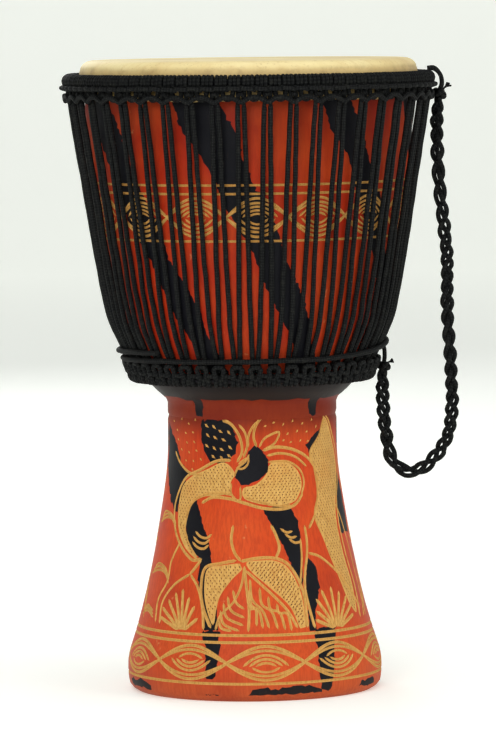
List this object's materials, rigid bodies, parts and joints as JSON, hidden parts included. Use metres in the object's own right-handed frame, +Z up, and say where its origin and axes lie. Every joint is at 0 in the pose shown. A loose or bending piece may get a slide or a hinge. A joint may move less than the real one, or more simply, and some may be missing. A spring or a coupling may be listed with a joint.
{
  "type": "djembe hand drum",
  "caption": "Rope-tuned goblet hand drum: carved painted wooden shell, goat-skin head, roped steel rings and a hanging chain-braided rope handle.",
  "frame": {"origin": "centre of the base ring, on the floor", "axes": "+Z up the drum's axis to the head, -Y the carved front, +X the handle's side"},
  "size_m": [0.3735, 0.3554, 0.6],
  "materials": {
    "carved_wood": "red-orange and black paint over carved raw wood, satin",
    "goat_hide": "dry shaved goat skin, matt",
    "steel_rod": "welded round rod",
    "black_rope": "braided polyester rope, black"
  },
  "bodies": {
    "drum": {"shell": "carved_wood", "goat_skin": "goat_hide", "flesh_hoop": "steel_rod", "crown_ring": "steel_rod", "lower_ring": "steel_rod", "crown_hitches": "black_rope", "lower_hitches": "black_rope", "crown_loops": "black_rope", "lower_loops": "black_rope", "cradle_rope": "black_rope", "vertical_rope": "black_rope", "pull_rope": "black_rope", "handle_knot_top": "black_rope", "handle_knot_bottom": "black_rope"},
    "handle": {"handle_cord": "black_rope"}
  },
  "joints": [
    {"name": "handle_swing", "type": "hinge", "parent": "drum", "child": "handle", "pos_m": [0.1252, 0, 0.3026], "axis": [0.2099, 0, 0.9777], "range_deg": [-60, 60]}
  ]
}
